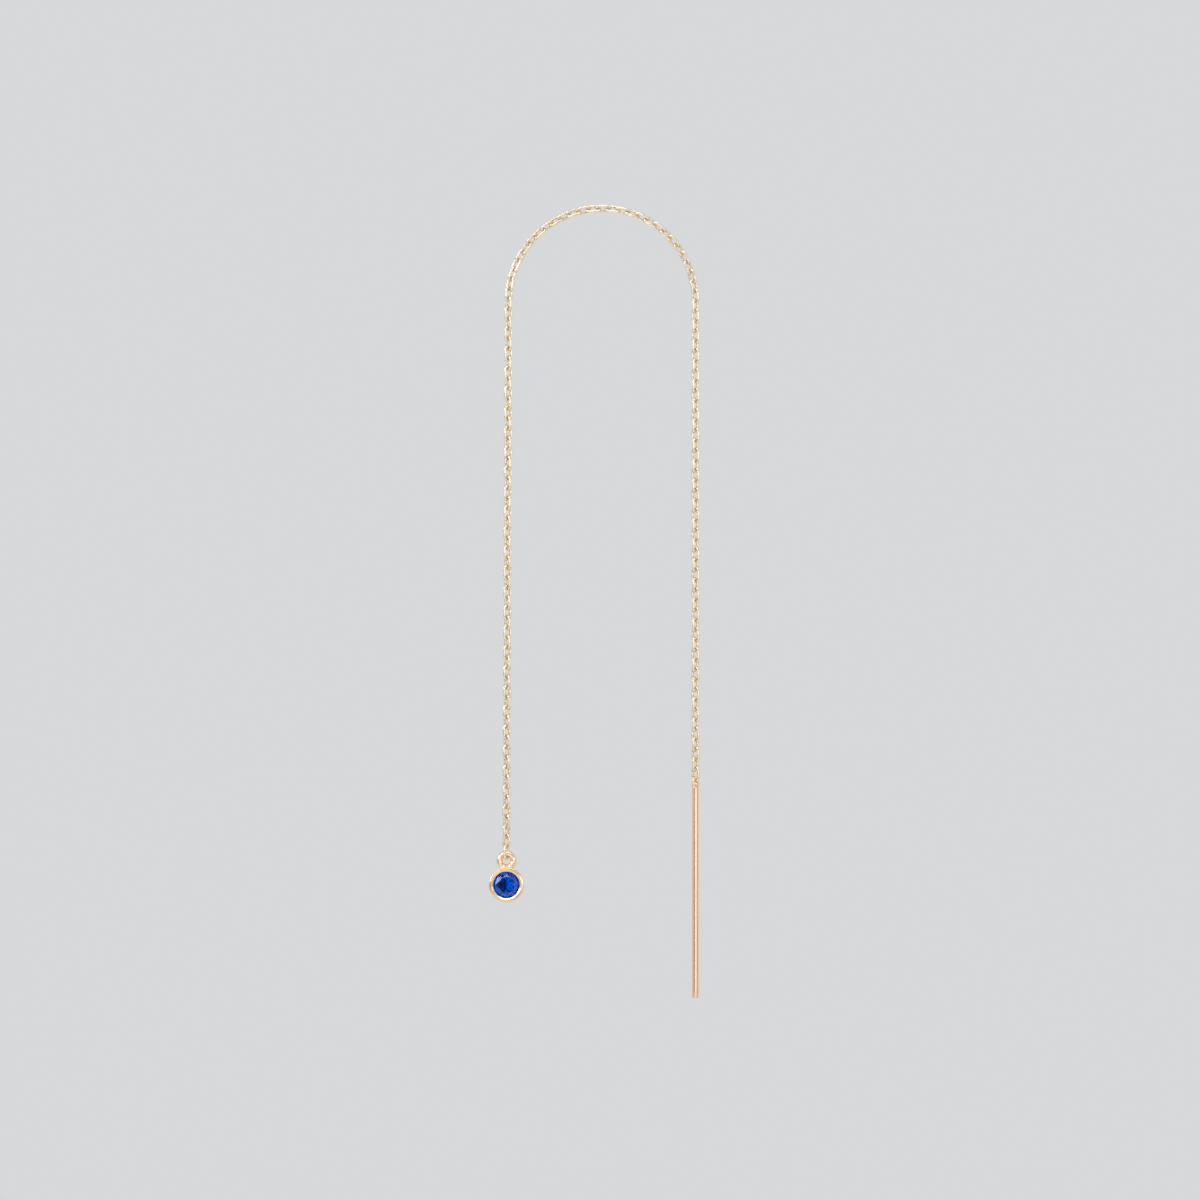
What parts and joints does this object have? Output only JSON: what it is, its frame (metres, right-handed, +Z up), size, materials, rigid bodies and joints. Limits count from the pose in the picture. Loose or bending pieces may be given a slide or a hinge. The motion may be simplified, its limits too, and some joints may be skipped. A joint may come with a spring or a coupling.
{
  "type": "threader earring",
  "caption": "Gold threader earring: fine cable chain over a bend, a bezel-set round blue stone at the front and a straight bar at the back.",
  "frame": {"origin": "top of the chain's bend at the middle of the chain, where it passes through the ear", "axes": "+Z up as it hangs, +X from the front strand with the stone to the back strand with the bar, -Y the way the stone faces"},
  "size_m": [0.021, 0.0019, 0.0793],
  "materials": {
    "gold_chain": "polished fine cable chain in pale rose-yellow gold",
    "gold_setting": "polished pale rose-yellow gold with hand-burnished lip",
    "gold_bar": "polished drawn wire with faint lengthwise drawing lines",
    "blue_stone": "faceted transparent royal blue, high gloss"
  },
  "bodies": {
    "chain": {"chain_front": "gold_chain", "chain_back": "gold_chain", "end_link": "gold_chain"},
    "drop": {"bezel": "gold_setting", "stone": "blue_stone"},
    "threader": {"bar": "gold_bar"}
  },
  "joints": [
    {"name": "drop_swing", "type": "hinge", "parent": "chain", "child": "drop", "pos_m": [-0.00955, 0, -0.06451], "axis": [0.9397, -0.342, 0], "range_deg": [-90, 90]},
    {"name": "bar_swing", "type": "hinge", "parent": "chain", "child": "threader", "pos_m": [0.00935, 0, -0.05688], "axis": [0.5736, 0.8192, 0], "range_deg": [-90, 90]}
  ]
}
